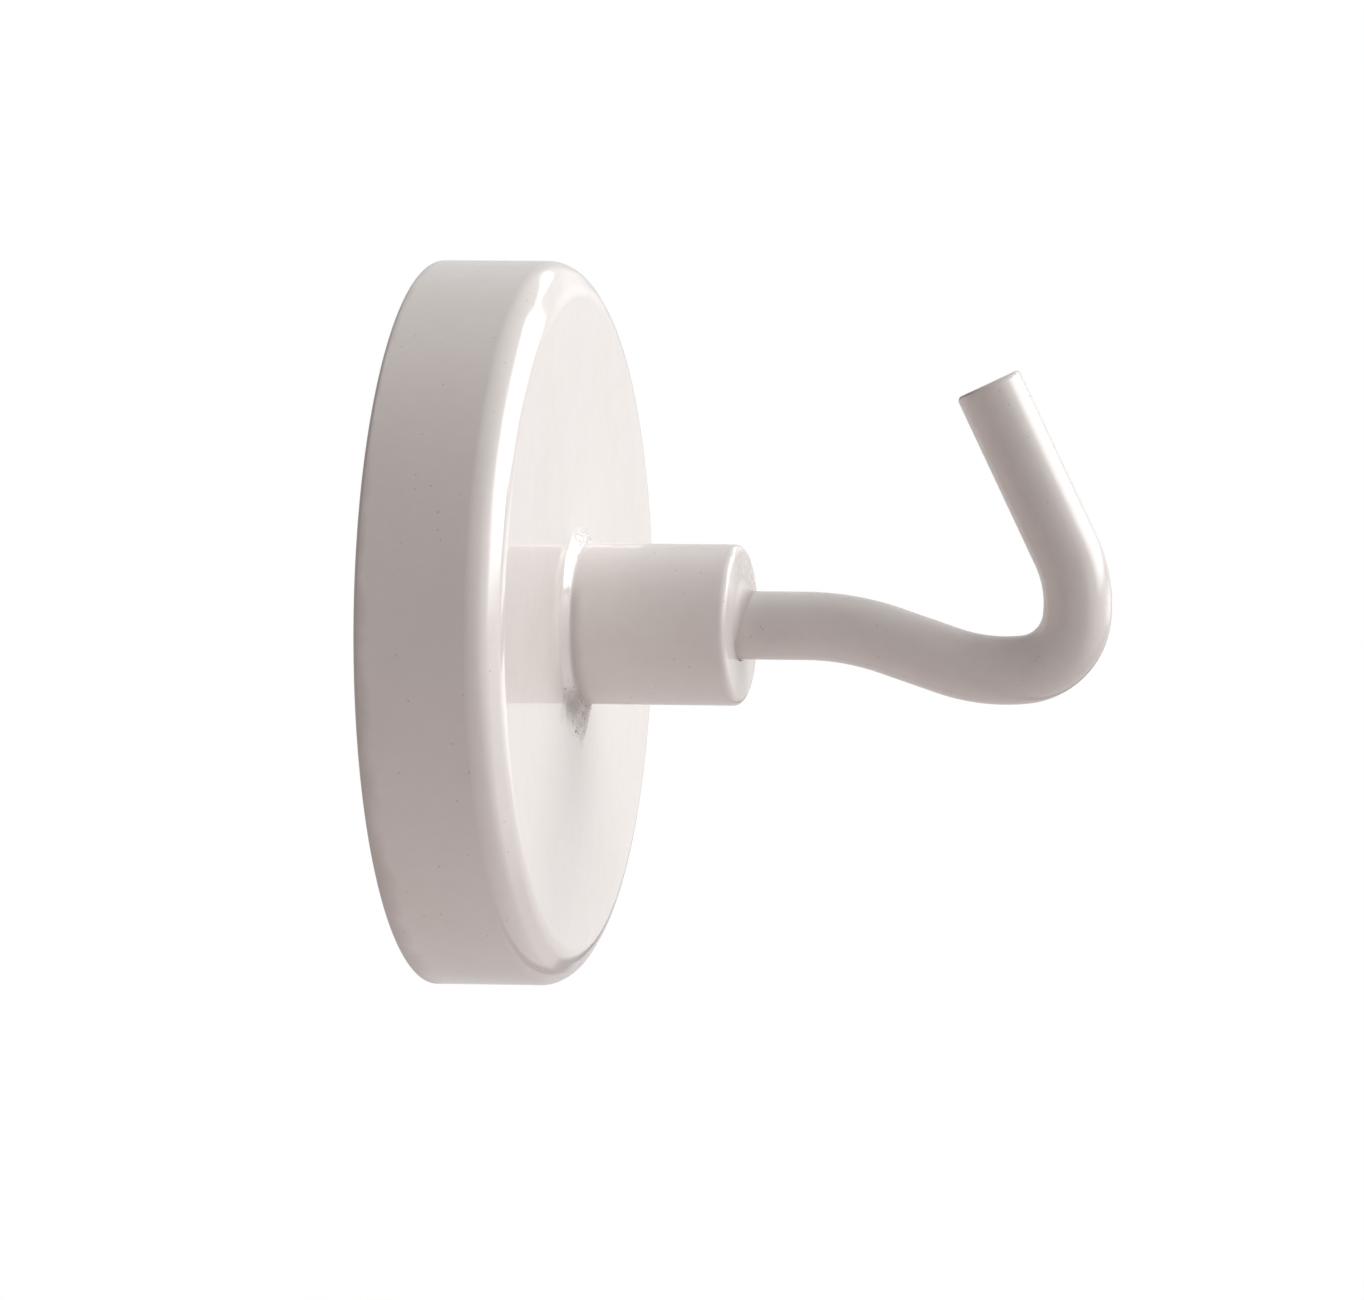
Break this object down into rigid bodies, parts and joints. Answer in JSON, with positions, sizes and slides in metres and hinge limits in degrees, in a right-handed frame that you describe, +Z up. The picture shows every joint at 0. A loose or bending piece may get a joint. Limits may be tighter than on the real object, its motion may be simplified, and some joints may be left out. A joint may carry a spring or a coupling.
{
  "type": "magnetic hook",
  "caption": "White lacquered round pot magnet with a threaded boss and a bent wire hook, for hanging light things from a steel surface.",
  "frame": {"origin": "centre of the magnet's back face, in the plane of the pot's rim, which is the wall", "axes": "+Y into the wall, -Y out of it along the bush and the hook's neck, +Z up towards the hook's tip, X across"},
  "size_m": [0.036, 0.0342, 0.036],
  "materials": {
    "cup_lacquer": "glossy warm white stoving lacquer over drawn steel",
    "bush_lacquer": "glossy warm white stoving lacquer over turned steel",
    "hook_lacquer": "glossy warm white stoving lacquer over bent steel wire",
    "cured_resin": "cured amber epoxy, slightly wavy",
    "ferrite": "pressed and ground hard ferrite, dull dark grey"
  },
  "bodies": {
    "pot": {"steel_cup": "cup_lacquer", "threaded_bush": "bush_lacquer", "potting_resin": "cured_resin", "ferrite_disc": "ferrite"},
    "hook": {"wire_hook": "hook_lacquer"}
  },
  "joints": [
    {"name": "hook_turn", "type": "hinge", "parent": "pot", "child": "hook", "pos_m": [0, -0.0155, 0], "axis": [0, -1, 0], "range_deg": [-180, 180]}
  ]
}
